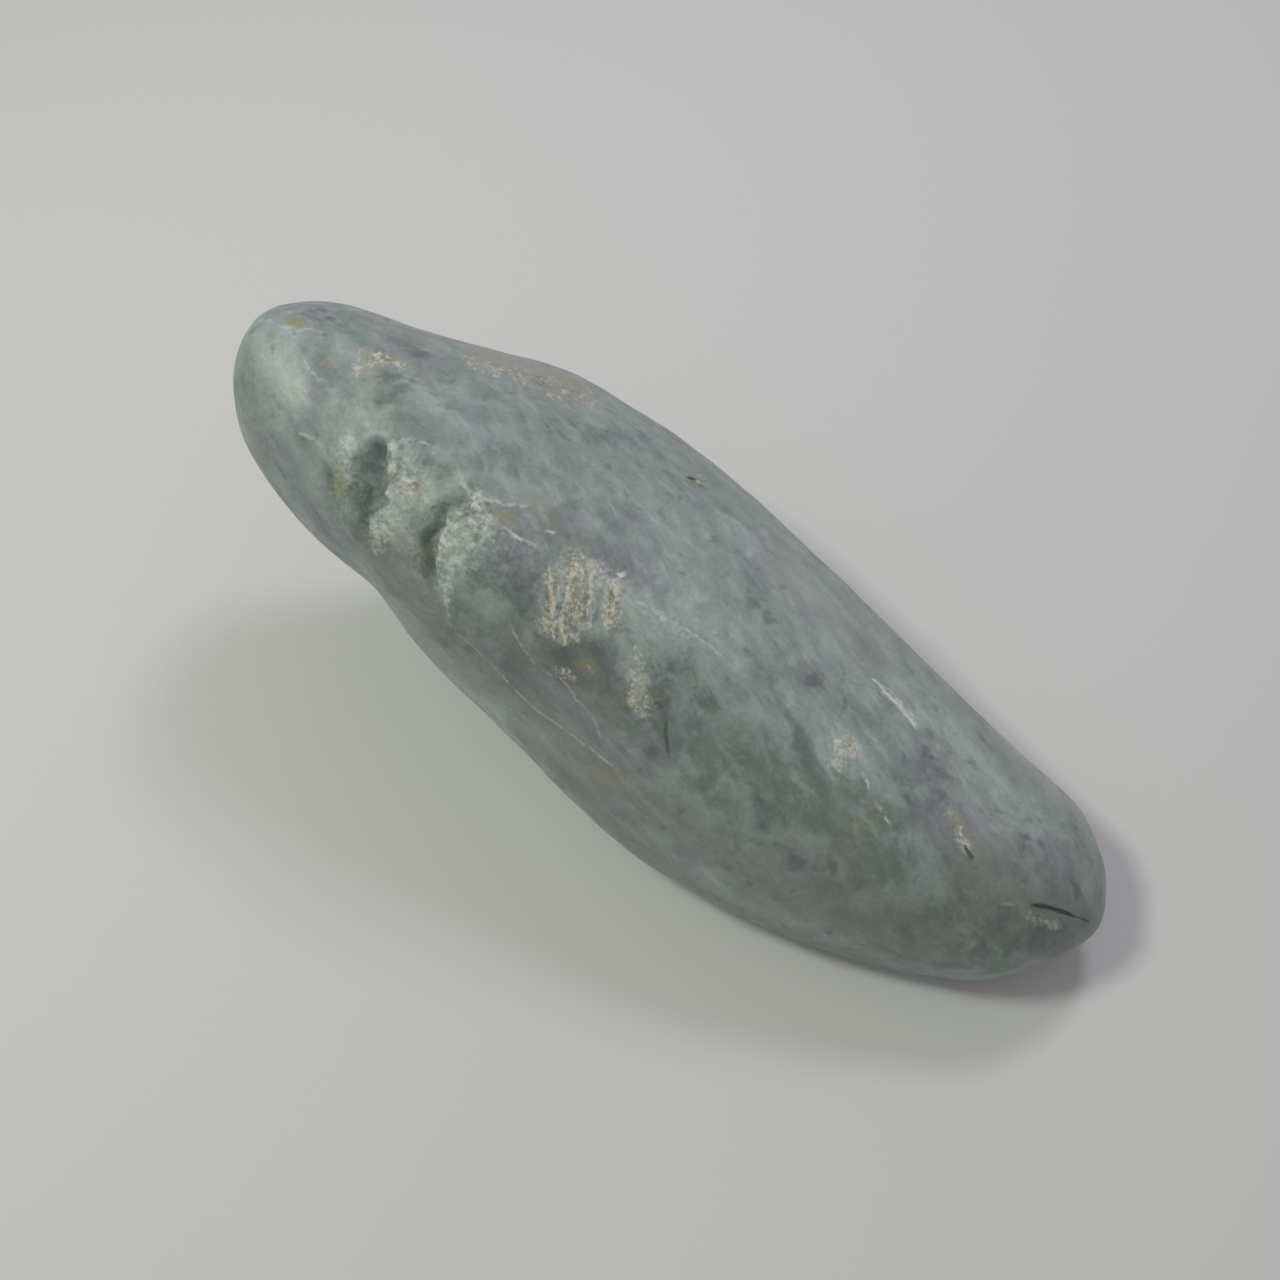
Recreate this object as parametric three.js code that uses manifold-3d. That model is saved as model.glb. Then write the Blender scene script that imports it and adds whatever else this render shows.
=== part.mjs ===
// A jadeite beach pebble: one long, sea-worn stone of grey-green and lavender jadeite.
//
// Frame: millimetres, +Z up, +X along the stone from its raised nose to its tail.
// The origin is under the middle of the stone, on the plane that it lies on.
//
// The skin is lofted through cross-sections. Each section is a closed loop of eight points
// that keep their meaning from nose to tail, so the long lines through them are the stone's
// own lines: the crest, the front edge, the foot that it rests on and so on.
// Two flake scars, an open crack and the worn resting face are then cut out of that skin.
import * as THREE from "three";
import Module from "manifold-3d";
import { mergeVertices } from "three/addons/utils/BufferGeometryUtils.js";

// Loft density: rings from pole to pole, and points round each ring.
const RINGS = 78;
const AROUND = 50;

// How far the rings crowd towards the two ends: 0 is even, 1 is a full cosine.
const CROWDING = 0.35;

// The two rounded ends, where every long line meets.
const NOSE = [-41.5, 0.3, 26.2];
const TAIL = [41.5, -1.6, 4.9];

// Cross-sections from nose to tail. Each point is [y, z], in the order
// belly, front foot, front edge, front shoulder, crest, top, back edge, back foot.
const SECTIONS = [
  {
    x: -40,
    loop: [[0.4, 22], [-2.2, 22.9], [-4.5, 25.9], [-2.8, 28.4], [-0.6, 29.2], [1.9, 28.6], [4.7, 26], [3.1, 23]],
  },
  {
    x: -36.4,
    loop: [[-0.1, 18.6], [-4.7, 19.6], [-8.2, 23.8], [-6.8, 28.6], [-2.7, 31], [1.7, 30.4], [7.1, 25.4], [4.7, 20.3]],
  },
  {
    x: -29.2,
    loop: [[-0.2, 12.2], [-6.7, 14.2], [-10.7, 19.8], [-9.6, 27.2], [-4.4, 31.1], [1.8, 30.4], [10.1, 22.6], [6.8, 14.5]],
  },
  {
    x: -23.3,
    loop: [[0.2, 7.2], [-7.3, 9.7], [-10.7, 15.9], [-10.9, 25.1], [-6.2, 31.3], [1.8, 30.4], [13.5, 20], [9.6, 10.2]],
  },
  {
    x: -18,
    loop: [[0.8, 3.6], [-7.6, 6.3], [-12.1, 12.1], [-11.9, 22.6], [-7.3, 30.5], [2, 29.6], [16.1, 17.5], [12, 7.1]],
  },
  {
    x: -6,
    loop: [[1.3, -0.8], [-10.2, 0.8], [-14, 6.8], [-13.2, 16.7], [-8.7, 26.4], [2.9, 25.3], [16.6, 14], [12.3, 3.5]],
  },
  {
    x: 7,
    loop: [[0.3, -1.2], [-13.4, 0.4], [-16.6, 5.4], [-15.4, 14.7], [-10, 21.6], [1, 21.2], [13.3, 12.4], [9.3, 2.5]],
  },
  {
    x: 19,
    loop: [[-1.7, -1], [-13, 0.2], [-15.7, 4.1], [-14.9, 11.9], [-9.4, 16.9], [-0.6, 16.5], [10.1, 10.4], [6.8, 2]],
  },
  {
    x: 29,
    loop: [[-2.7, -0.7], [-11.2, 0.1], [-13.2, 3.4], [-12.7, 9.6], [-7.5, 13.5], [-1, 13.1], [7.3, 8.6], [4.3, 1.8]],
  },
  {
    x: 37,
    loop: [[-3.2, -0.3], [-7.1, 0.3], [-8.9, 3.1], [-9, 7.8], [-5.7, 11], [-1.1, 10.8], [4.8, 7.5], [1.5, 2.2]],
  },
];
const LINES = SECTIONS[0].loop.length;

// Two flakes broke out of the shoulder, one behind the other, and left steps facing the nose.
const SHOULDER_SLOPE = [0.05, -0.62, -0.78];
const FLAKES = [
  {
    scoop: { centre: [-21.8, -10.7, 30.4], radius: 3.6, stretch: 1.45, along: SHOULDER_SLOPE },
    knobs: [
      { centre: [-18, -6.1, 29.9], radius: 3.8 },
      { centre: [-17.3, -11.1, 25.8], radius: 3.9 },
    ],
  },
  {
    scoop: { centre: [-15.3, -10.9, 28.8], radius: 2.4, stretch: 1.9, along: SHOULDER_SLOPE },
    knobs: [
      { centre: [-10.6, -7.3, 28.4], radius: 4.2 },
      { centre: [-10, -10.5, 25.3], radius: 5.2 },
    ],
  },
];

// An open crack near the tail.
const GASH = { from: [35.4, -6.4, 11.6], to: [40.7, -3.4, 8.3], depth: 1.2, width: 0.5 };

// A box under the stone that is larger than the stone every way.
const BELOW = { across: 200, deep: 50 };

// One long line of the stone and the line opposite it make a closed hoop through both ends,
// which keeps the ends round.
function hoop(index) {
  const opposite = (index + LINES / 2) % LINES;
  const along = (i) => SECTIONS.map(({ x, loop }) => new THREE.Vector3(x, ...loop[i]));
  const points = [
    new THREE.Vector3(...NOSE),
    ...along(index),
    new THREE.Vector3(...TAIL),
    ...along(opposite).reverse(),
  ];
  return new THREE.CatmullRomCurve3(points, true, "centripetal");
}

// The ring of skin points at a share of the way from nose to tail.
function ring(hoops, share) {
  const loop = hoops.map((line) => line.getPoint(share / 2));
  const curve = new THREE.CatmullRomCurve3(loop, true, "centripetal");
  return curve.getPoints(AROUND).slice(0, AROUND);
}

// The lofted skin as one closed surface: a fan at each end and quads between the rings.
function skin() {
  const hoops = SECTIONS[0].loop.map((_, i) => hoop(i));
  const points = [new THREE.Vector3(...NOSE)];
  for (let r = 1; r < RINGS; r++) {
    const even = r / RINGS;
    const cosine = (1 - Math.cos(Math.PI * even)) / 2;
    points.push(...ring(hoops, THREE.MathUtils.lerp(even, cosine, CROWDING)));
  }
  points.push(new THREE.Vector3(...TAIL));
  const tail = points.length - 1;
  const at = (r, k) => 1 + (r - 1) * AROUND + (k % AROUND);
  const faces = [];
  for (let k = 0; k < AROUND; k++) {
    faces.push(0, at(1, k), at(1, k + 1));
    for (let r = 1; r < RINGS - 1; r++) {
      faces.push(at(r, k), at(r + 1, k), at(r + 1, k + 1));
      faces.push(at(r, k), at(r + 1, k + 1), at(r, k + 1));
    }
    faces.push(at(RINGS - 1, k), tail, at(RINGS - 1, k + 1));
  }
  return new THREE.BufferGeometry().setFromPoints(points).setIndex(faces);
}

const wasm = await Module();
wasm.setup();

// A closed three.js surface as a solid that can be cut.
function toSolid(geometry) {
  const bare = geometry.clone();
  bare.deleteAttribute("normal");
  bare.deleteAttribute("uv");
  const merged = mergeVertices(bare, 1e-4);
  const mesh = new wasm.Mesh({
    numProp: 3,
    vertProperties: new Float32Array(merged.attributes.position.array),
    triVerts: new Uint32Array(merged.index.array),
  });
  return new wasm.Manifold(mesh);
}

// A cut solid as a three.js surface again.
function toGeometry(solid) {
  const { vertProperties, triVerts } = solid.getMesh();
  const position = new THREE.BufferAttribute(new Float32Array(vertProperties), 3);
  const index = new THREE.BufferAttribute(new Uint32Array(triVerts), 1);
  return new THREE.BufferGeometry().setAttribute("position", position).setIndex(index);
}

// A ball of the given radius, stretched along one direction.
function ball({ centre, radius, stretch = 1, along = [1, 0, 0] }) {
  const from = new THREE.Vector3(1, 0, 0);
  const to = new THREE.Vector3(...along).normalize();
  const turn = new THREE.Quaternion().setFromUnitVectors(from, to);
  const geometry = new THREE.SphereGeometry(radius, 40, 24);
  geometry.scale(stretch, 1, 1).applyQuaternion(turn).translate(...centre);
  return toSolid(geometry);
}

// What a flake took with it: a shallow scoop, less the knobs that stayed standing.
// The scoop runs out to nothing on the nose side and ends at the knobs in a low cliff.
function flake({ scoop, knobs }) {
  return knobs.reduce((piece, knob) => piece.subtract(ball(knob)), ball(scoop));
}

// A thin gash: a flat lens set on edge in the skin.
function gash({ from, to, depth, width }) {
  const start = new THREE.Vector3(...from);
  const end = new THREE.Vector3(...to);
  const along = end.clone().sub(start).normalize();
  const side = new THREE.Vector3(0, 0, 1).cross(along).normalize();
  const turn = new THREE.Matrix4().makeBasis(along, side, along.clone().cross(side));
  const geometry = new THREE.SphereGeometry(1, 24, 12);
  geometry.scale(start.distanceTo(end) / 2, width / 2, depth).applyMatrix4(turn);
  geometry.translate(...start.lerp(end, 0.5));
  return toSolid(geometry);
}

// What the beach wore off underneath: everything below the resting plane.
function below({ across, deep }) {
  return toSolid(new THREE.BoxGeometry(across, across, deep).translate(0, 0, -deep / 2));
}

// The whole stone.
function stone() {
  const cuts = [below(BELOW), ...FLAKES.map(flake), gash(GASH)];
  return cuts.reduce((body, cut) => body.subtract(cut), toSolid(skin()));
}

const jadeite = new THREE.MeshStandardMaterial({ color: 0x7f8f88, roughness: 0.5, metalness: 0 });
const pebble = new THREE.Mesh(toGeometry(stone()), jadeite);
pebble.name = "pebble";

const root = new THREE.Group();
root.add(pebble);
export default root;
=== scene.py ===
"""A jadeite beach pebble for Blender 4.5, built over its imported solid.

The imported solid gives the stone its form. Here that form is remeshed finely, its scars, crust,
pits and cracks are carved into the mesh, and the surface is dressed as sea-worn jadeite.
Lengths in this file are millimetres. Blender gets metres.
"""

import logging
import math
from collections.abc import Mapping, Sequence
from dataclasses import dataclass, field
from enum import Enum

import bmesh
import bpy
import numpy as np
from mathutils import Matrix, Vector

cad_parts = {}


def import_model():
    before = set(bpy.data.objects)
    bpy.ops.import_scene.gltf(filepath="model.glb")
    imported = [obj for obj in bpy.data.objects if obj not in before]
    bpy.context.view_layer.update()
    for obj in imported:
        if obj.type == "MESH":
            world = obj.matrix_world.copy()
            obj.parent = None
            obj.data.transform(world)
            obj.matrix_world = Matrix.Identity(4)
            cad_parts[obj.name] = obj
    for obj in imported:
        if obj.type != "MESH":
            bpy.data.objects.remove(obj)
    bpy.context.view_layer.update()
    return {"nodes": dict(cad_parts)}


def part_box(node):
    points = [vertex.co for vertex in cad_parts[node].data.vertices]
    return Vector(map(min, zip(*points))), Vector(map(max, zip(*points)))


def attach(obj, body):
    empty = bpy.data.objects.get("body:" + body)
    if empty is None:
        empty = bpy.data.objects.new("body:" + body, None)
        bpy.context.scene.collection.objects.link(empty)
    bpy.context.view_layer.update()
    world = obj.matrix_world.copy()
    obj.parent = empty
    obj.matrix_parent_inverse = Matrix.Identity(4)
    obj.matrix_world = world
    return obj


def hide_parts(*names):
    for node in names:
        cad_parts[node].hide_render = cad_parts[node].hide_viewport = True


log = logging.getLogger("pebble")

MM = 0.001
TINY = 1e-9

Point = tuple[float, float, float]


def linear(colour: str) -> tuple[float, float, float, float]:
    """Turn an sRGB hex colour into the linear colour that Blender's sockets take.

    Args:
        colour: Six hex digits after a hash sign.

    Returns:
        Linear red, green, blue and an alpha of one.
    """
    parts = [int(colour[i : i + 2], 16) / 255 for i in (1, 3, 5)]
    red, green, blue = (c / 12.92 if c <= 0.04045 else ((c + 0.055) / 1.055) ** 2.4 for c in parts)
    return (red, green, blue, 1.0)


def smooth_step(low: float, high: float, value: np.ndarray) -> np.ndarray:
    """Rise smoothly from 0 at low to 1 at high.

    Args:
        low: Value where the step starts. It may be above high, and then the step falls.
        high: Value where the step ends.
        value: Values to map.

    Returns:
        The mapped values.
    """
    share = np.clip((value - low) / (high - low), 0.0, 1.0)
    return share * share * (3.0 - 2.0 * share)


def unit(vectors: np.ndarray) -> np.ndarray:
    """Vectors scaled to length one, along the last axis."""
    return vectors / np.maximum(np.linalg.norm(vectors, axis=-1, keepdims=True), TINY)


class Waviness:
    """Smooth random relief in space, the same on every run."""

    # Cells before the relief repeats, how far each layer is moved, and what makes it up to 1.
    CELLS = 256
    LAYER_SHIFT = 31.7
    GAIN = 1.6

    def __init__(self, seed: int) -> None:
        """Draw the random slopes.

        Args:
            seed: Number that fixes the relief.
        """
        dice = np.random.default_rng(seed)
        self.order = dice.permutation(self.CELLS)
        self.slopes = unit(dice.normal(size=(self.CELLS, 3)))

    def at(self, points: np.ndarray, size: float, octaves: int = 1) -> np.ndarray:
        """Read the relief.

        Args:
            points: Places to read it at.
            size: Distance between neighbouring bumps.
            octaves: Layers of relief, each half the size and height of the one before.

        Returns:
            Heights from about -1 to 1.
        """
        total = np.zeros(len(points))
        for octave in range(octaves):
            scaled = points * (2**octave / size) + self.LAYER_SHIFT * octave
            cell = np.floor(scaled).astype(int)
            inside = scaled - cell
            fade = inside**3 * (inside * (inside * 6 - 15) + 10)
            layer = np.zeros(len(points))
            for corner in np.ndindex(2, 2, 2):
                place = (cell + corner) % self.CELLS
                pick = self.order[place[:, 0]]
                pick = self.order[(pick + place[:, 1]) % self.CELLS]
                pick = self.order[(pick + place[:, 2]) % self.CELLS]
                rise = np.einsum("ij,ij->i", self.slopes[pick], inside - corner)
                weight = np.prod(np.where(corner, fade, 1 - fade), axis=1)
                layer += weight * rise
            total += layer * self.GAIN / 2**octave
        return total


@dataclass(frozen=True)
class Relief:
    """Bumps of one height and size.

    Attributes:
        height: Their height.
        size: Distance between neighbouring bumps.
        octaves: Layers of relief, each half the size and height of the one before.
        shift: How far their pattern is moved, so that no two reliefs fall together.
    """

    height: float
    size: float
    octaves: int
    shift: float = 0.0

    def on(self, points: np.ndarray, waves: Waviness) -> np.ndarray:
        """The height of the bumps at each point."""
        return self.height * waves.at(points + self.shift, self.size, self.octaves)


class Tone(Enum):
    """What a mark is. Each tone is stored as one number per vertex, which the material reads."""

    CHALK = "chalk"
    PALE = "pale"
    LAVENDER = "lavender"
    GREEN = "green"
    OCHRE = "ochre"
    # Dark flecks; in the flake hollows also painted shade.
    DARK = "dark"
    BROKEN = "broken"
    FROST = "frost"
    GREY = "grey"
    # Darker places; partly painted shade.
    DARKER_AND_SHADE = "deep"
    # Lighter places; partly painted light and painted reflection.
    LIGHT = "light"
    TAN = "tan"


class Line(Enum):
    """What a line across the stone is made of."""

    QUARTZ = "quartz"
    RUST = "rust"
    OPEN = "open"


@dataclass(frozen=True)
class Mark:
    """A soft-edged patch on the skin.

    Attributes:
        at: Its middle. It is moved to the nearest point of the skin.
        radius: Half its width.
        strength: How strong it is in the middle.
        to: Far end of its middle line. Without it the patch is round.
    """

    at: Point
    radius: float
    strength: float
    to: Point | None = None


@dataclass(frozen=True)
class Seam:
    """A thin line in the skin.

    Attributes:
        line: What it is made of.
        through: Points that it runs through. They are moved to the skin.
        strength: How strongly it shows.
        fade: Length over which each end dies out.
    """

    line: Line
    through: Sequence[Point]
    strength: float = 1.0
    fade: float = 1.2


@dataclass(frozen=True)
class Ledge:
    """A broken edge. On the right of someone walking along it, the skin has dropped away.

    Attributes:
        through: Points that its lip runs through. They are moved to the skin.
        drop: How far the skin falls at the lip.
        reach: How far out the fall runs before it has died out.
        fade: Length over which each end dies out.
    """

    through: Sequence[Point]
    drop: float
    reach: float
    fade: float = 1.5


# The patches of each tone from the nose to the tail: middle, radius, strength and, where a
# patch is long, the far end of its middle line. The last ones of a tone are on the sides that
# the stone lies on or turns away, where they carry on what shows.
PATCHES: dict[Tone, Sequence[tuple]] = {
    # Cream crust, which is what the sea left of the weathered rind.
    Tone.CHALK: (
        ((-28.2, 0.1, 31.1), 1, 0.42, (-27.3, -1.7, 31.4)),
        ((-28, 0.1, 31.1), 0.9, 0.5, (-26.2, 0.8, 30.9)),
        ((-22.1, 6, 27.8), 2, 0.38, (-19.2, 7.8, 26.3)),
        ((-18.9, -8, 30.1), 0.5, 0.6, (-18.3, -7.8, 30.2)),
        ((-18.4, 8.4, 25.9), 2, 0.42, (-15.5, 10.6, 23.6)),
        ((-6.4, -7.6, 26.8), 0.9, 0.85, (-5.1, -10.4, 24.4)),
        ((-5.6, -5.8, 27), 1, 0.95, (-4.2, -10.3, 24.3)),
        ((-4.6, -5.6, 26.6), 0.9, 0.8, (-3.4, -8.6, 25.5)),
        ((-4, 9.6, 20.9), 0.5, 0.6, (-3.4, 10.6, 19.9)),
        ((-3.4, -11.8, 21.8), 0.5, 0.75, (-2.2, -11.9, 21.5)),
        ((-2.5, -5.8, 25.8), 0.6, 0.8, (-1.2, -8, 25.1)),
        ((1.4, -9.2, 23.8), 0.8, 0.4, (2.6, -10.4, 22.8)),
        ((2.6, -10.4, 22.8), 0.8, 0.55, (3.5, -11.4, 21.6)),
        ((17.9, -4.6, 17.7), 0.5, 0.4, (18.6, -4.2, 17.4)),
        ((28.2, -4.5, 13.9), 0.5, 0.3, (29, -5.1, 13.8)),
        ((-12, -2, 0.6), 1.6, 0.7, (-9, 1, 0.2)),
        ((2, 15, 9), 1.4, 0.8, (6, 13.6, 9)),
    ),
    # Milky jade. Along the lower front edge of the nose half it is partly painted light, from the
    # floor's bounce.
    Tone.PALE: (
        ((-35.9, -2.4, 31), 2.3, 0.4, (-33.2, -5.2, 30.5)),
        ((-33.9, -2.6, 31.3), 0.8, 0.8, (-32.9, -3.5, 31.2)),
        ((-33, -4.6, 31), 1.3, 0.6, (-31.5, -5.7, 30.5)),
        ((-27.8, -5.2, 31.1), 1.5, 0.6, (-24.4, -5.2, 31.4)),
        ((-26.4, -5.4, 31.3), 1.4, 0.8, (-25.6, -6.9, 30.5)),
        ((-25.2, -7.2, 30.3), 1.3, 0.9, (-24.6, -8.8, 28.9)),
        ((-20.2, -8.4, 30), 2, 1.4, (-19.5, -10.4, 27)),
        # Partly painted light: the floor's bounce on the lower front edge.
        ((-18.8, -12.6, 17), 1.8, 1, (-8, -14.4, 9.4)),
        ((-18.6, -8.3, 29.9), 1.2, 1.2, (-16.8, -8.4, 29.4)),
        ((-13.9, -8.4, 28.8), 1.4, 1, (-13.6, -10.8, 25.6)),
        ((-8, 9, 22.4), 2.8, 0.5, (14.2, 4.6, 16.6)),
        ((-2, -0.9, 25.1), 2.8, 0.45, (6, -3.4, 22.6)),
        ((0.6, -7, 24.6), 3, 0.9, (6.4, -6.3, 22.6)),
        ((8.8, -8.6, 21.4), 3, 0.5, (13.2, -8.5, 19.6)),
        ((14.2, 3.2, 16.9), 3, 0.7, (29, 2.2, 12.2)),
        ((17, -5.2, 18.1), 2.2, 1.1, (18.6, -4.2, 17.4)),
        ((20, -6.2, 17), 1.2, 0.6, (20.6, -5.4, 16.8)),
        ((36, -6.9, 11), 0.7, 1.2, (37.6, -6.1, 10.2)),
        ((-24, 4, 9), 4, 0.7, (-17, 6, 5)),
        ((18, 8, 8), 3.4, 0.6, (26, 6, 6)),
    ),
    # Lavender jade.
    Tone.LAVENDER: (
        ((-33.6, -9, 25.4), 3, 0.6, (-27, -10.6, 22)),
        ((-32.3, 2.9, 29.9), 4, 0.8, (-25.7, 2.7, 30)),
        ((-30.4, -3.9, 31.1), 1.3, 0.8, (-29, -7, 30)),
        ((-13.4, -12.6, 19.4), 3.4, 0.9, (-5.7, -12.9, 18)),
        ((-12.2, -6.8, 29.1), 2.2, 1, (-8.6, -8, 27.5)),
        ((-5.4, -1.2, 26.3), 2.6, 0.8, (-3.3, -2.2, 25.9)),
        ((-2, -13.4, 17.4), 3.2, 1, (4.7, -13.3, 18.8)),
        ((2, -15.4, 12), 3, 0.5, (22.1, -15.3, 9)),
        ((4.8, 5.1, 20.3), 3, 0.8),
        ((12.8, -1.7, 19.4), 1.4, 0.7),
        ((23.4, -1.6, 15), 2, 1.4, (26.2, -3.8, 14.6)),
        ((30.2, -1.6, 13.2), 2.6, 0.8, (36.8, -2.6, 11)),
        ((-30, -3, 13), 4, 0.7, (-24, -5, 9)),
        ((-14, 14, 12), 4, 0.8, (-6, 15, 9)),
        ((10, 2, 0), 5, 0.6, (20, -4, 0)),
    ),
    # Deep green jade.
    Tone.GREEN: (
        ((-29.4, -9.8, 27), 2.6, 0.6, (-25.6, -10.9, 25)),
        ((-24, -4, 31.2), 2.8, 0.75, (-9, -2.4, 28)),
        ((-22.7, -8, 28.8), 1.3, 1.5, (-21.9, -10.8, 25.6)),
        ((-19.5, 1.4, 30.2), 3.6, 0.3, (-11.2, 4.8, 26.2)),
        ((-15.6, -8.4, 28.4), 1, 1.5, (-16.3, -11, 25)),
        ((-12.4, -10.6, 26), 2.2, 0.8, (-9.4, -10.8, 24.9)),
        ((-2.9, -11.2, 23), 2.4, 1.1, (3, -11.6, 21.4)),
        ((8, -11, 20.6), 3.6, 1.1, (23, -10.4, 14.8)),
        ((13, -10.2, 19), 2.4, 1.2, (19.4, -8.4, 16.8)),
        ((26, -13, 9.4), 3.4, 1.4, (36, -8.4, 9.4)),
        ((27, -11.4, 12), 3, 0.7, (35.4, -9.3, 7.6)),
        ((-18, -6, 5), 3.4, 0.7, (-8, -9, 2)),
        ((-6, 15, 8), 3.4, 0.8, (2, 13, 5)),
    ),
    # Iron stain.
    Tone.OCHRE: (
        ((-36.2, -2, 31.1), 0.8, 0.8),
        ((-36, -0.1, 31), 0.6, 1.4, (-35.1, -0.1, 31.1)),
        ((-33.2, -7.4, 29.1), 0.9, 0.55),
        ((-32, -6, 30.3), 0.6, 0.5, (-31.4, -5.6, 30.5)),
        ((-28.4, 0.4, 31), 1.2, 0.6, (-27.2, -1.2, 31.3)),
        ((-25.2, -8.6, 29), 0.8, 0.6, (-24.3, -9.5, 27.9)),
        ((-25, -10.1, 26.7), 0.8, 0.9, (-24.3, -9.3, 28.2)),
        ((-23.9, -11, 24.7), 1.2, 0.4),
        ((-22.4, -11.2, 24.4), 0.8, 0.55, (-21.7, -11.3, 24)),
        ((-20.6, -8.2, 30), 0.8, 1.1, (-17.8, -8.2, 29.9)),
        ((-18.6, -10.4, 26.8), 0.6, 0.7, (-17.8, -11.4, 24.6)),
        ((-18.4, -9.2, 28.8), 1, 0.5, (-17.4, -8.4, 29.6)),
        ((-16.2, -8.8, 28.2), 0.8, 0.6, (-16.6, -10.9, 25.4)),
        ((-14.9, -8.2, 28.8), 0.7, 0.8, (-16, -9.4, 27.4)),
        ((-14.1, -7, 29.6), 0.6, 1, (-11, -6.2, 28.9)),
        ((-10.6, -3.6, 28.6), 1.2, 0.7, (-8.6, -4.2, 28.1)),
        ((-6.7, 5.1, 24.5), 1.3, 0.35),
        ((-6.2, -5.6, 27.2), 1.2, 0.6, (-5.6, -4.8, 27.1)),
        ((-2, -11.2, 22.8), 0.7, 0.9, (-1.2, -11, 22.9)),
        ((-1.6, -11.4, 22.5), 1.5, 0.35, (0.4, -11, 22.6)),
        ((1.2, 11.8, 17.2), 1.5, 0.35),
        ((2.2, -9.9, 23.2), 0.9, 0.8, (3.2, -11.2, 21.8)),
        ((3.5, -15.2, 14.4), 1.4, 0.75, (0.9, -15, 14.1)),
        ((12.4, -15.6, 13.1), 0.9, 0.6),
        ((16.1, -16.2, 10.2), 0.9, 0.6),
        ((17.9, -4, 17.6), 0.5, 1.4),
        ((18.9, -7.8, 17.2), 1.4, 0.35, (19.8, -9.4, 16.4)),
        ((20.7, -10.6, 15.5), 1.2, 0.6, (21.7, -8.6, 16)),
        ((20.7, -10.6, 15.5), 0.4, 0.9, (21.6, -7, 16.4)),
        ((21.2, -15.3, 9.7), 0.8, 0.6),
        ((27.3, -3.9, 14.2), 0.9, 0.95, (29.4, -5.3, 13.6)),
        ((32.2, -9.4, 11.4), 0.7, 0.4, (34, -11.3, 6.9)),
        ((4, 13.8, 9), 1.6, 0.6),
        ((28, -4, 0), 1.6, 0.5, (24, -1, 0)),
    ),
    # Places with many dark flecks. In the two flake hollows they close into a dark sheet of painted
    # shade.
    Tone.DARK: (
        ((-34.8, 2.2, 30.3), 1.3, 0.9),
        ((-28.3, 0.8, 30.9), 0.4, 1, (-27.9, -0.1, 31.1)),
        ((-27.2, -2.3, 31.5), 0.8, 1, (-26.2, -1.2, 31.4)),
        ((-25.8, -1.5, 31.5), 1.2, 0.9, (-24.3, -1, 31.4)),
        # This and the next: painted shade in the first flake's hollow.
        ((-22.5, -7.7, 29), 0.8, 1, (-22.3, -8.9, 27.6)),
        ((-22.3, -6.6, 30.3), 0.5, 1.2, (-21.8, -7.7, 29.6)),
        ((-16.2, 11.7, 22.9), 1.2, 0.7),
        # This and the next: painted shade in the second flake's hollow.
        ((-15.6, -8.6, 28.2), 0.8, 1, (-16.3, -10.6, 25.8)),
        ((-14.9, -8.3, 28.8), 0.6, 1.2, (-14.3, -7.3, 29.4)),
        ((-13, -12.4, 20), 2, 0.6, (-8.6, -12.4, 19.4)),
        ((-10.9, -4.6, 28.9), 0.6, 0.8),
        ((-7.5, -8.8, 26.9), 0.9, 0.9, (-7, -10, 25.6)),
        ((-4.4, -11.5, 22.7), 1.7, 0.75, (-0.4, -10.6, 23.4)),
        ((-2.8, -10.6, 23.8), 1, 0.9, (-0.4, -9.6, 24)),
        ((3.1, 4.8, 21.1), 0.8, 0.8),
        ((4.6, -9.6, 22.8), 0.6, 0.6, (5, -8.6, 23)),
        ((7.9, 1, 20.8), 0.8, 0.8),
        ((12.8, -13.9, 15.9), 0.7, 0.9),
        ((12.8, -1.7, 19.4), 0.6, 1.1),
        ((13.5, -15.9, 12.1), 0.7, 0.8),
        ((15.3, -12.9, 16.1), 0.6, 0.9),
        ((15.8, -15.8, 11.4), 0.7, 0.7),
        ((18.9, -13.5, 14), 0.5, 0.8, (19.8, -13.2, 13.9)),
        ((20.9, -10.6, 15.5), 0.7, 0.6),
        ((21, -12.5, 14), 0.5, 0.7, (21.9, -12.2, 13.9)),
        ((23.4, -9.4, 15), 0.7, 0.7, (25.2, -9.4, 14.4)),
        ((23.4, -4, 15.6), 0.9, 0.8, (25.2, -4.6, 15.1)),
        ((23.4, -0.8, 15), 1.1, 0.8, (26.2, -3.2, 14.6)),
        ((33, -10.4, 9.8), 1.8, 0.6, (37.4, -7, 8.8)),
        ((33.7, -2.4, 12.4), 1.2, 0.9),
        ((38.2, -2.6, 10.2), 0.9, 0.7),
        ((-27, 7.6, 15), 0.8, 0.8),
        ((-22, 11, 14), 0.9, 0.8),
        ((12, 10, 8), 0.9, 0.8, (14, 9, 7)),
    ),
    # Rough rock, round the hollows that the flakes left.
    Tone.BROKEN: (
        ((-23.6, -8.4, 28.6), 2, 0.8, (-22.4, -10.4, 26.2)),
        ((-20.1, -7.4, 30.6), 2, 0.8, (-19.6, -10.4, 27)),
        ((-16.4, -8.8, 28.2), 1.3, 1, (-16.4, -11, 25.2)),
        ((-13, -8.2, 28.5), 2.6, 0.62, (-10.6, -8.4, 27.6)),
    ),
    # Frosty white bruises.
    Tone.FROST: (
        ((-32.1, -5.9, 30.3), 0.8, 0.5, (-31.2, -5.2, 30.6)),
        ((-25, -8.6, 29.2), 0.8, 0.45, (-24.9, -9.8, 27.2)),
        ((-24.9, -9.9, 27), 0.5, 0.4, (-24.2, -9.5, 27.9)),
        ((-24.8, -7.5, 30.2), 0.9, 0.75, (-24.3, -8.9, 28.4)),
        ((-21.3, -6.2, 31.3), 0.7, 0.4, (-19.9, -5.3, 31.4)),
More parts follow.
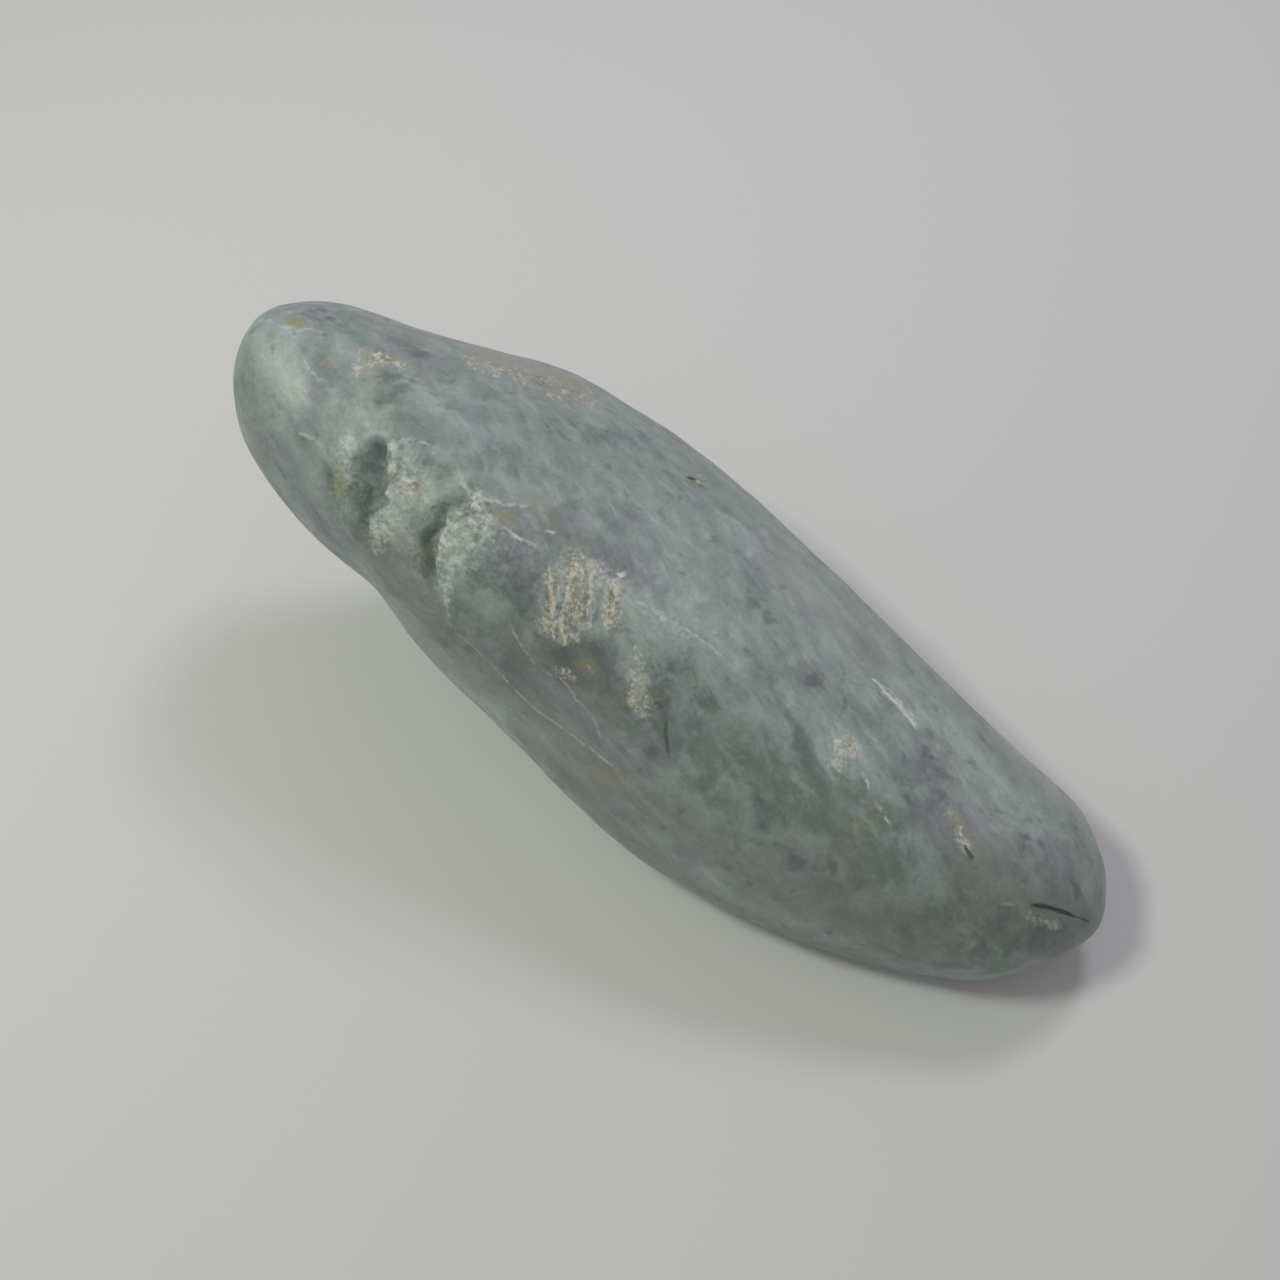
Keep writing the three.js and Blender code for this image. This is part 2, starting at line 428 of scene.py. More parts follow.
        ((-21.2, -6.6, 31.1), 0.7, 0.5, (-20.4, -8.3, 30)),
        ((-20.5, -10.4, 26.4), 0.9, 1, (-20.6, -11.2, 24.5)),
        ((-19.8, -9.2, 28.6), 1.4, 0.6, (-19.4, -10.4, 26.8)),
        ((-18.6, -8.3, 29.9), 1.4, 0.8, (-17.2, -8.3, 29.6)),
        ((-14.9, -8.6, 27.9), 1, 1.5, (-14.5, -10.4, 26.3)),
        ((-14.5, -10.6, 25.7), 0.9, 1, (-13.9, -11.8, 23)),
        ((-14.2, -6.2, 29.8), 0.5, 1.7, (-13.7, -6.6, 29.6)),
        ((-13.6, -9.8, 27), 1.7, 0.85, (-12.7, -7.8, 28.6)),
        ((-5.2, -7.2, 26.8), 2, 0.4, (-3.6, -9.2, 25.2)),
        ((-3.8, -5.2, 26.4), 1.2, 0.65, (-2.5, -5.4, 25.8)),
        ((-1.2, -5.5, 25.3), 0.8, 0.5, (3.5, -5, 23.7)),
        ((2.2, -9.4, 23.3), 1.3, 0.38, (3.6, -11.2, 21.7)),
        ((4, -8.8, 22.9), 0.7, 0.5),
        ((17, -4.2, 18), 0.9, 1, (17.8, -6, 17.6)),
        ((17.8, -4.8, 17.7), 0.7, 1, (18.4, -3.9, 17.4)),
        ((17.8, 2.6, 15.9), 0.5, 1.2, (21.2, 1.7, 14.8)),
        ((27.1, -3.6, 14.3), 0.9, 0.5, (29.2, -5.2, 13.7)),
        ((36, -6.9, 11), 0.5, 0.75, (38.2, -5.8, 9.8)),
    ),
    # Dull grey skin.
    Tone.GREY: (
        ((-35.4, -6.6, 28.8), 2.2, 0.6, (-33, -9.4, 25.4)),
        ((-20.4, -11.6, 23.2), 2.4, 1.1, (-15, -12.8, 19)),
        ((-18, -12.6, 17), 3.6, 1, (-2, -13.8, 15.4)),
        ((-15.5, -10.4, 26), 1.4, 0.6, (-11, -11.5, 22.8)),
        ((-8.4, -12.2, 21.6), 2.2, 0.9, (-6.4, -12.8, 18.6)),
        ((-6, -14.2, 12), 2.6, 1, (8, -16.6, 8.4)),
        ((-6, 12, 19.4), 2.4, 0.5, (16, 8, 14)),
        ((-5, -11.9, 21.6), 2.4, 0.9, (0, -11.8, 21.4)),
        ((0, -14.4, 15.6), 3, 0.9, (16, -15.2, 12.4)),
        ((6, 6.6, 19), 2.6, 0.85, (15, 5.2, 16.2)),
        ((8, -16.6, 8.4), 2.6, 1, (26, -14.6, 5)),
        ((12, -13.2, 16.9), 2, 0.6, (26, -10.9, 13.2)),
        ((16, -15.2, 11.8), 3.6, 1.2, (29, -12.4, 9.5)),
        ((16, 8, 14), 3, 0.6, (36, 3.4, 8.6)),
        ((24, 6.2, 11), 2.6, 0.85, (38.4, 2, 8)),
        ((30, -6.4, 12.2), 3, 1.2, (39, -5.6, 8.4)),
        ((40, -3, 7.6), 2.4, 0.7),
    ),
    # Slow darker places, which hold the marks together: partly the stone's own darker tone, partly
    # painted shade, in the two flake hollows and along the shoulder between the top and the front
    # flank.
    Tone.DARKER_AND_SHADE: (
        ((-38.6, -4.2, 29.4), 1.8, 0.7, (-37.2, -6.2, 28.6)),
        ((-32.6, -1.3, 31.4), 1.2, 0.4),
        ((-29.5, -5.2, 30.7), 1, 0.5, (-29.2, -6.6, 30.2)),
        ((-28.3, -1.3, 31.3), 1.1, 0.3),
        ((-27.2, -2.5, 31.5), 0.9, 0.6, (-25.8, -1.1, 31.4)),
        ((-27.1, -2.9, 31.5), 1.2, 0.6, (-25.6, -2, 31.5)),
        ((-24.7, -10.3, 26.3), 1.3, 0.8),
        ((-23.4, 8, 26.6), 2.6, 0.25, (-18, 10, 25)),
        # Painted shade at the top of the first flake's hollow.
        ((-22.4, -6.5, 30.4), 0.7, 1.2, (-21.9, -7.6, 29.6)),
        ((-20.6, -7.6, 30.5), 0.9, 0.75, (-19.6, -6.2, 31)),
        ((-16.6, -5, 30.7), 1.8, 0.35, (-12, -2.6, 29.2)),
        # Painted shade at the top of the second flake's hollow.
        ((-14.9, -8.2, 28.8), 0.6, 1.2, (-14.2, -7.3, 29.4)),
        ((-11, -12, 21.3), 2, 0.5),
        ((-10.3, 0.9, 27.6), 3, 0.25),
        ((-8.4, -12, 21.8), 2, 0.5, (-6.4, -12.8, 18.6)),
        ((-8, -9.6, 25.9), 0.8, 0.6, (-7.2, -11, 24.2)),
        ((-7, -6.6, 27.2), 1.4, 0.6, (-4.6, -6.2, 26.8)),
        ((-6.2, -4.6, 27.2), 1.2, 1.3),
        ((-5.8, -10.1, 24.9), 1, 0.5),
        ((-5.3, -8.3, 26.3), 0.35, 1.3, (-4.7, -9.8, 25.1)),
        ((-5, -3.3, 26.6), 2, 0.6),
        ((-4.8, -11.5, 22.6), 1.6, 0.9, (-0.5, -9.9, 23.9)),
        ((-2.9, -6.4, 25.9), 0.4, 0.8, (-2.5, -8.6, 25)),
        ((4, -9, 23), 2.4, 0.9, (7.1, -8.2, 22.1)),
        # Painted shade along the shoulder between the top and the front flank.
        ((10, -10, 20.2), 2.6, 0.4, (20.6, -8, 16.6)),
        ((23, -4.2, 15.7), 1.2, 0.5, (25.2, -4.6, 15.1)),
        # Painted shade along the shoulder between the top and the front flank.
        ((26, -9.4, 13.8), 3, 0.4, (37.5, -6.3, 10.2)),
        ((-14, 2, 3), 5, 0.5, (-4, 6, 1)),
    ),
    # Slow lighter places: partly the stone's own paler tone, partly painted light, from the floor's
    # bounce along the lower front edge, and a painted reflection along the back edges.
    Tone.LIGHT: (
        ((-37, -1.7, 31), 1.3, 0.95, (-35.3, -1.8, 31.3)),
        ((-35.2, -7.8, 27.8), 1.6, 0.3, (-34.2, -8.8, 26.4)),
        ((-25.2, -7.1, 30.5), 0.9, 0.8, (-23.9, -7, 30.6)),
        # Painted light: the floor's bounce on the lower front edge.
        ((-19, -12.4, 17.4), 1.8, 0.9, (-13.6, -13.2, 15.8)),
        ((-18.4, -8.4, 29.8), 1.4, 0.6, (-17, -8.8, 29.2)),
        ((-15.6, -5.6, 30.3), 0.9, 0.8, (-13.2, -4.9, 29.7)),
        # Painted light: the floor's bounce on the lower front edge.
        ((-13.6, -13.2, 15.8), 2, 0.6, (-5, -14.2, 12.4)),
        ((-3.8, 2.1, 24.8), 2.2, 0.4, (1, -2.2, 24.3)),
        ((0.8, 3.6, 22.5), 1.6, 0.5),
        ((2, 10.4, 17.6), 2.6, 0.4, (10, 8.6, 15.8)),
        # Painted reflection along the back edge.
        ((5, 7, 19), 2.4, 1.2, (12, 5.8, 17.1)),
        # Painted light: the floor's bounce on the lower front edge.
        ((11, -16.8, 9.4), 2, 0.5, (24, -15, 7.6)),
        ((12.9, 0.1, 19), 1.2, 0.6),
        ((15, 7.6, 14.8), 2.8, 0.6, (28, 4.8, 11.2)),
        ((17.3, -13.7, 14.5), 1.6, 0.6),
        # Painted reflection along the back edge.
        ((28, 6.4, 9.8), 1.9, 1.1, (38.6, 3, 7.6)),
        ((28.6, -2.8, 13.7), 1.3, 0.6),
        ((-28, 6, 16), 3.4, 0.4, (-16, 12, 12)),
    ),
    # Thin dusty rind.
    Tone.TAN: (
        ((-33.4, -3, 31.2), 0.6, 0.6, (-34.4, 0.9, 31)),
        ((-31.6, 5, 28.6), 1.8, 0.6, (-26.6, 5.4, 28.2)),
        ((-30.3, -1.7, 31.3), 0.8, 0.8),
        ((-28.2, 0.1, 31.1), 1.2, 0.85, (-27.4, -1.5, 31.4)),
        ((-28, 0.1, 31.1), 1, 0.65, (-25.2, 1.6, 30.6)),
        ((-23.4, 8, 26.6), 2.6, 0.9, (-15.2, 12, 22.6)),
        ((-17.8, 7, 26.9), 1.4, 0.8, (-14.6, 10.4, 24)),
        ((5, 8.4, 18.6), 2.2, 0.4, (17, 6.6, 14.4)),
    ),
}
MARKS: dict[Tone, list[Mark]] = {
    tone: [Mark(*patch) for patch in patches] for tone, patches in PATCHES.items()
}

# The seams. Where two are equally near, the first one holds.
SEAMS = (
    Seam(Line.QUARTZ, ((-35.4, -1.3, 31.3), (-33.8, -0.3, 31.2), (-32.5, 0, 31.1)), 0.5),
    Seam(Line.QUARTZ, ((-33.1, -2.9, 31.3), (-31.3, -3.5, 31.2), (-29.4, -3.9, 31.2)), 0.5),
    Seam(Line.QUARTZ, ((-30.6, -8, 29.2), (-28.7, -7.8, 29.3), (-26.7, -8.1, 29.3)), 0.5),
    # The upper edge of the broken knob, and the white streak in it.
    Seam(Line.QUARTZ, ((-14.2, -6.2, 29.9), (-12.4, -5.5, 29.4), (-10.3, -3.8, 28.6)), 0.6),
    Seam(Line.QUARTZ, ((-11.4, -7, 28.8), (-9.8, -6.8, 28.3), (-8.2, -6.6, 27.8)), 0.75, 0.9),
    Seam(Line.QUARTZ, ((-8.9, -5.2, 28.1), (-8.4, -4.9, 27.9), (-7.9, -4.8, 27.8)), 1, 0.4),
    Seam(Line.QUARTZ, ((-16.4, -6.7, 30.2), (-15.2, -6.3, 30.1), (-14.2, -6.1, 29.9)), 0.9, 0.6),
    Seam(Line.QUARTZ, ((-21.9, -6.6, 31.2), (-21.3, -5.9, 31.4), (-20.2, -5.3, 31.4),
                       (-18.6, -5, 31.2)), 0.6, 0.8),
    Seam(Line.QUARTZ, ((-20.9, -7.4, 30.7), (-19.6, -7.9, 30.3), (-18.4, -7.6, 30.4)), 1, 0.6),
    Seam(Line.QUARTZ, ((-20.3, -8.6, 29.6), (-19, -8.5, 29.6), (-17.8, -8.2, 29.8)), 0.8, 0.6),
    Seam(Line.QUARTZ, ((-2.8, -4.8, 26), (-2.3, -4.1, 25.8), (-2.4, -3.4, 25.7)), 1.6, 0.3),
    # Rusty cracks below the knob and the crust.
    Seam(Line.RUST, ((-14.3, -11.9, 22.2), (-13.8, -12.2, 21), (-12.8, -12.4, 20),
                     (-9.7, -12.6, 18.7)), 0.9),
    Seam(Line.RUST, ((-8.8, -11, 23.8), (-7.2, -11.6, 22.3), (-5.4, -12.1, 20.9), (-3, -12.1, 20.9),
                     (-1.4, -12.6, 19.9), (0.1, -13.1, 18.9), (1.3, -13.8, 17.5)), 1.1),
    Seam(Line.RUST, ((-1.9, -10.8, 23.4), (-0.6, -11.2, 22.5)), 0.9, 0.6),
    Seam(Line.QUARTZ, ((-10, -12.7, 18.7), (-5.7, -13.3, 16.3), (0.8, -14.2, 16.2),
                       (3.6, -14.7, 15.9)), 0.45),
    Seam(Line.QUARTZ, ((-1.3, -5.5, 25.4), (0.1, -5.4, 24.9), (1.8, -5.1, 24.3), (3.5, -5, 23.7),
                       (5.3, -5, 23), (7.4, -4.7, 22.1)), 0.5, 1.5),
    # The long vein on the back slope: rusty at its start, white and wide after it.
    Seam(Line.RUST, ((13.3, 4, 17.3), (14.8, 3.7, 16.7), (16.5, 3.2, 16.2)), 1.5),
    Seam(Line.QUARTZ, ((16.4, 3.1, 16.3), (19.1, 2.3, 15.5), (21.9, 1.4, 14.7)), 2.6, 1),
    Seam(Line.QUARTZ, ((19.6, -5.4, 17.2), (21.1, -6.6, 16.6), (22.2, -7.1, 16.1),
                       (23.8, -7.7, 15.4)), 0.75, 0.8),
    Seam(Line.RUST, ((17.6, -4.5, 17.8), (18.2, -3.6, 17.5)), 1.4, 0.3),
    Seam(Line.OPEN, ((5.1, -10.5, 21.9), (6.3, -11.9, 20.4), (7.4, -13.3, 18.5)), 0.42, 1.8),
    Seam(Line.OPEN, ((28.9, -5.1, 13.8), (29.7, -5.6, 13.6), (30.5, -6.2, 13.3)), 0.8, 0.5),
    Seam(Line.RUST, ((29.9, -8.2, 12.9), (32.1, -8, 12.2), (35.4, -6.4, 11.7)), 0.5),
    Seam(Line.OPEN, ((35.2, -6.5, 11.8), (37, -5.2, 10.5), (40.8, -3, 7.4)), 1, 1.6),
    Seam(Line.OPEN, ((-4.5, 9.2, 21.3), (-3.6, 10.1, 20.4)), 0.7, 0.5),
    # Carried on round the hidden sides.
    Seam(Line.QUARTZ, ((-20, 12, 17), (-10, 15.8, 13), (-2, 15.4, 11)), 0.6),
    Seam(Line.RUST, ((8, 12, 10), (16, 9.5, 8.6), (24, 7.8, 7)), 0.6),
    Seam(Line.QUARTZ, ((-26, -3, 9.5), (-16, -5, 3.4), (-6, -6, 0.4)), 0.6),
)

# The lips that the two flakes left, both facing the nose.
LEDGES = (
    Ledge(((-21.9, -5.4, 31.5), (-21.3, -7.4, 30.6), (-20.5, -8.7, 29.3), (-21.3, -9.8, 26.8),
           (-21.3, -11.2, 24.6), (-21.3, -11.6, 22.9)), 0.45, 1.9),
    Ledge(((-13.4, -5.8, 29.7), (-14.4, -7.2, 29.6), (-15.3, -8.4, 28.3), (-15.3, -10, 26.6),
           (-15, -11.3, 24.1), (-14.2, -11.9, 22.2), (-12.8, -12.4, 20.1)), 0.5, 1.6),
)


@dataclass(frozen=True)
class Track:
    """Where the skin's points lie beside one line on it.

    Attributes:
        near: Numbers of the points that are close to it.
        side: Their distances from it, above zero on the right of someone walking along it.
        ends: How far they are, along the line, from its nearer end.
    """

    near: np.ndarray
    side: np.ndarray
    ends: np.ndarray


@dataclass
class Skin:
    """The stone's surface as a mesh that can be smoothed, refined, carved and measured.

    Attributes:
        mesh: The Blender mesh, in metres.
    """

    mesh: bpy.types.Mesh

    # Shares of the way to its neighbours that a vertex goes in and then out again. Out is the
    # larger, which keeps the stone its size.
    IN_AND_OUT = (0.5, -0.526)

    @classmethod
    def over(cls, solid: bpy.types.Object, cell: float) -> "Skin":
        """Wrap a solid in an even mesh of small squares.

        Args:
            solid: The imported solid. It isn't changed.
            cell: Side of a square.

        Returns:
            The new skin.
        """
        copy = bpy.data.objects.new("blank", solid.data.copy())
        bpy.context.scene.collection.objects.link(copy)
        wrap = copy.modifiers.new("wrap", "REMESH")
        wrap.mode = "VOXEL"
        wrap.voxel_size = cell * MM
        bpy.context.view_layer.update()
        evaluated = copy.evaluated_get(bpy.context.evaluated_depsgraph_get())
        mesh = bpy.data.meshes.new_from_object(evaluated)
        blank = copy.data
        bpy.data.objects.remove(copy)
        bpy.data.meshes.remove(blank)
        return cls(mesh)

    @property
    def points(self) -> np.ndarray:
        """The vertices, one row each."""
        flat = np.empty(len(self.mesh.vertices) * 3, np.float32)
        self.mesh.vertices.foreach_get("co", flat)
        return flat.reshape(-1, 3).astype(float) / MM

    @points.setter
    def points(self, points: np.ndarray) -> None:
        """Move the vertices."""
        self.mesh.vertices.foreach_set("co", (points * MM).astype(np.float32).ravel())
        self.mesh.update()

    @property
    def normals(self) -> np.ndarray:
        """The outward direction at each vertex."""
        flat = np.empty(len(self.mesh.vertices) * 3, np.float32)
        self.mesh.vertex_normals.foreach_get("vector", flat)
        return flat.reshape(-1, 3).astype(float)

    def relax(self, rounds: int, share: np.ndarray | float = 1.0) -> None:
        """Smooth the skin without shrinking it.

        Args:
            rounds: How many times to smooth.
            share: How much of it each vertex takes.
        """
        ends = np.empty(len(self.mesh.edges) * 2, np.int32)
        self.mesh.edges.foreach_get("vertices", ends)
        ends = ends.reshape(-1, 2)
        here = np.concatenate([ends[:, 0], ends[:, 1]])
        there = np.concatenate([ends[:, 1], ends[:, 0]])
        points = self.points
        count = len(points)
        links = np.bincount(here, minlength=count)[:, None]
        weight = np.broadcast_to(share, (count,))[:, None]
        for _ in range(rounds):
            for step in self.IN_AND_OUT:
                sums = [np.bincount(here, points[there, axis], count) for axis in range(3)]
                points = points + step * weight * (np.stack(sums, axis=1) / links - points)
        self.points = points

    def refine(self, wanted: np.ndarray) -> None:
        """Split the faces round the wanted vertices in four.

        Args:
            wanted: Whether each vertex needs finer faces.
        """
        work = bmesh.new()
        work.from_mesh(self.mesh)
        work.verts.ensure_lookup_table()
        edges = set()
        for face in work.faces:
            if len(face.verts) == 4 and all(wanted[v.index] for v in face.verts):
                edges.update(face.edges)
        bmesh.ops.subdivide_edges(work, edges=list(edges), cuts=1, use_grid_fill=True)
        work.to_mesh(self.mesh)
        work.free()

    def close_up(self) -> None:
        """Turn every face into triangles and shade it smooth."""
        work = bmesh.new()
        work.from_mesh(self.mesh)
        bmesh.ops.triangulate(work, faces=work.faces)
        for face in work.faces:
            face.smooth = True
        work.to_mesh(self.mesh)
        work.free()

    def note(self, name: str, values: np.ndarray) -> None:
        """Store one number per vertex under a name that the material reads.

        Args:
            name: The name.
            values: The numbers.
        """
        layer = self.mesh.attributes.new(name, "FLOAT", "POINT")
        layer.data.foreach_set("value", values.astype(np.float32))


@dataclass
class Chart:
    """The marks, seams and ledges, laid on a skin.

    Attributes:
        skin: The skin that they lie on.
        reach: How far from a seam its offset is known.
        bend: Straight pieces in each span of a line.
        spare: How much further than its reach a line's points are first looked for, because
            that goes by the ends of its straight pieces.
        core: Share of its reach within which a seam shows in full.
        shelf: Share of a ledge's reach within which it keeps its whole drop.
        lip_fall: Distances past a lip between which the skin falls.
        lip_middle: Distance before a lip where its bruised rim is strongest.
        lip_width: How far from there the rim fades.
        anchors: The place on the skin of each point that a mark or a line names.
    """

    skin: Skin
    reach: float = 0.9
    bend: int = 6
    spare: float = 1.0
    core: float = 0.5
    shelf: float = 0.2
    lip_fall: tuple[float, float] = (-0.1, 0.3)
    lip_middle: float = 0.3
    lip_width: float = 0.45
    anchors: dict[Point, np.ndarray] = field(default_factory=dict)

    def settle(self) -> None:
        """Find the place on the skin of every named point."""
        points = self.skin.points
        named = [p for marks in MARKS.values() for mark in marks for p in (mark.at, mark.to) if p]
        named += [p for line in (*SEAMS, *LEDGES) for p in line.through]
        for place in named:
            nearest = np.argmin(np.sum((points - np.array(place)) ** 2, axis=1))
            self.anchors[place] = points[nearest]

    def tone(self, tone: Tone, points: np.ndarray) -> np.ndarray:
        """Work out one tone.

        Args:
            tone: The tone.
            points: Places to work it out at.

        Returns:
            Its strength at each place. It is half the mark's strength at the mark's radius.
        """
        total = np.zeros(len(points))
        for mark in MARKS[tone]:
            start = self.anchors[mark.at]
            end = self.anchors[mark.to] if mark.to else start
            along = end - start
            length = max(float(along @ along), TINY)
            share = np.clip((points - start) @ along / length, 0.0, 1.0)[:, None]
            gap = np.linalg.norm(points - start - share * along, axis=1) / mark.radius
            total = np.maximum(total, mark.strength * 0.5 ** (gap**2))
        return total

    def course(self, through: Sequence[Point]) -> np.ndarray:
        """Run a line over the skin, with its bends rounded off.

        Args:
            through: Points that the line runs through.

        Returns:
            The ends of its straight pieces, in order.
        """
        stops = np.array([self.anchors[p] for p in through])
        ends = np.concatenate([[2 * stops[0] - stops[1]], stops, [2 * stops[-1] - stops[-2]]])
        out = []
        for a, b, c, d in zip(ends, ends[1:], ends[2:], ends[3:]):
            for t in np.arange(self.bend) / self.bend:
                curve = (2 * a - 5 * b + 4 * c - d) * t**2 + (3 * b - a - 3 * c + d) * t**3
                out.append(b + 0.5 * ((c - a) * t + curve))
        return np.array([*out, stops[-1]])

    def track(self, through: Sequence[Point], points: np.ndarray, normals: np.ndarray,
              reach: float) -> Track:
        """Find the points beside a line.

        Args:
            through: Points that the line runs through.
            points: Places to look at.
            normals: Outward directions there.
            reach: How far from the line to look.

        Returns:
            The points near it and where they lie.
        """
        course = self.course(through)
        spans = np.linalg.norm(np.diff(course, axis=0), axis=1)
        start = np.concatenate([[0.0], np.cumsum(spans)])
        gaps = np.min([np.sum((points - p) ** 2, axis=1) for p in course], axis=0)
        near = np.flatnonzero(gaps < (reach + self.spare) ** 2)
        here, out = points[near], normals[near]
        best = np.full(len(near), np.inf)
        side, run = np.zeros(len(near)), np.zeros(len(near))
        for i, (a, b) in enumerate(zip(course, course[1:])):
            along = b - a
            share = np.clip((here - a) @ along / (along @ along), 0, 1)
            away = here - a - share[:, None] * along
            gap = np.linalg.norm(away, axis=1)
            nearer = gap < best
            turn = np.einsum("ij,ij->i", away, np.cross(along, out))
            best[nearer] = gap[nearer]
            side[nearer] = (np.sign(turn) * gap)[nearer]
            run[nearer] = (start[i] + share * spans[i])[nearer]
        return Track(near, side, np.minimum(run, start[-1] - run))

    def seams(self, points: np.ndarray, normals: np.ndarray) -> dict[str, np.ndarray]:
        """Work out where the seams run.

        Args:
            points: Places to work them out at.
            normals: Outward directions there.

        Returns:
            "offset", the signed distance to the nearest seam, and the strength of each kind.
        """
        nearest = np.full(len(points), np.inf)
        offset = np.full(len(points), self.reach)
        kinds = {line: np.zeros(len(points)) for line in Line}
        for seam in SEAMS:
            track = self.track(seam.through, points, normals, self.reach)
            gap = np.abs(track.side)
            show = seam.strength * smooth_step(0, seam.fade, track.ends)
            show *= smooth_step(self.reach, self.core * self.reach, gap)
            won = gap < nearest[track.near]
            picked = track.near[won]
            nearest[picked] = gap[won]
            offset[picked] = track.side[won]
            for line in Line:
                kinds[line][picked] = show[won] if line is seam.line else 0.0
        found = {line.value: values for line, values in kinds.items()}
        found["offset"] = np.clip(offset, -self.reach, self.reach)
        return found

    def ledges(self, points: np.ndarray, normals: np.ndarray,
               ragged: np.ndarray) -> tuple[np.ndarray, np.ndarray]:
        """Work out the broken edges.

        Args:
            points: Places to work them out at.
            normals: Outward directions there.
            ragged: How far the lip wanders sideways at each place.

        Returns:
            How far the skin has dropped at each place, and how close it is to a lip, up to 1.
        """
        drop, lip = np.zeros(len(points)), np.zeros(len(points))
        for ledge in LEDGES:
            track = self.track(ledge.through, points, normals, ledge.reach)
            near, side = track.near, track.side + ragged[track.near]
            show = smooth_step(0, ledge.fade, track.ends)
            fall = smooth_step(*self.lip_fall, side)
            fall *= smooth_step(ledge.reach, self.shelf * ledge.reach, side)
            drop[near] = np.maximum(drop[near], ledge.drop * show * fall)
            rim = show * np.exp(-(((side + self.lip_middle) / self.lip_width) ** 2))
            lip[near] = np.maximum(lip[near], rim)
        return drop, lip


class Graph:
    """A material's node tree, filled one node at a time."""

    def __init__(self, name: str) -> None:
        """Start an empty material.

        Args:
            name: The material's name.
        """
        self.material = bpy.data.materials.new(name)
        self.material.use_nodes = True
        self.tree = self.material.node_tree
        self.tree.nodes.clear()

    def add(self, kind: str, inputs: Mapping[int | str, object] | None = None, out: int | str = 0,
            **settings: object) -> bpy.types.NodeSocket:
        """Add a node.

        Args:
            kind: The node type's name without its ShaderNode prefix.
            inputs: Values or linked sockets, by input name or number.
            out: Output that is wanted, by name or number.
            settings: The node's own properties.

        Returns:
            The wanted output, or the node's first input where it has no output.
        """
        node = self.tree.nodes.new("ShaderNode" + kind)
        for key, value in settings.items():
            setattr(node, key, value)
        for key, value in (inputs or {}).items():
            socket = node.inputs[key]
            if isinstance(value, bpy.types.NodeSocket):
                self.tree.links.new(value, socket)
            else:
                socket.default_value = value
        return node.outputs[out] if node.outputs else node.inputs[0]

    def sum(self, *terms: tuple[object, float]) -> bpy.types.NodeSocket:
        """Add up sockets and numbers.

        Args:
            terms: Each value and its weight.

        Returns:
            The sum of the values times their weights.
        """
        total: object = 0.0
        for value, weight in terms:
            total = self.add("Math", {0: value, 1: weight, 2: total}, operation="MULTIPLY_ADD")
        return total


@dataclass(frozen=True)
class Pattern:
    """Soft random clouds in the stone.

    Attributes:
        size: Distance between neighbouring clouds.
        detail: How many finer layers they have.
        roughness: How strong the finer layers are.
    """

    size: float
    detail: float
    roughness: float = 0.5

    def on(self, graph: Graph, place: object, out: str = "Fac") -> bpy.types.NodeSocket:
        """Draw the clouds at a position in the stone."""
        inputs = {"Vector": place, "Scale": 1 / self.size, "Detail": self.detail,
                  "Roughness": self.roughness}
        return graph.add("TexNoise", inputs, out)


@dataclass(frozen=True)
class Rise:
    """A smooth rise from nothing.

    Attributes:
        low: Value where it starts. It may be above high, and then the share falls.
        high: Value where it ends.
        top: The share that it ends at.
    """

    low: float
    high: float
    top: float = 1.0

    def of(self, graph: Graph, value: object) -> bpy.types.NodeSocket:
        """The share that a value comes to."""
        inputs = {0: value, 1: self.low, 2: self.high, 3: 0.0, 4: self.top}
        return graph.add("MapRange", inputs, interpolation_type="SMOOTHSTEP")


@dataclass(frozen=True)
class Coat:
    """A colour that lies over another.

    Attributes:
        tint: The colour.
        low: Cover where it starts to show.
        high: Cover where it shows most.
        top: How much it hides there.
    """

    tint: str
    low: float
    high: float
    top: float = 1.0

    def over(self, graph: Graph, below: object, cover: object) -> bpy.types.NodeSocket:
        """Lay it over what is below, where there is cover."""
        share = Rise(self.low, self.high, self.top).of(graph, cover)
        return graph.add("Mix", {0: share, 6: below, 7: linear(self.tint)}, 2, data_type="RGBA")


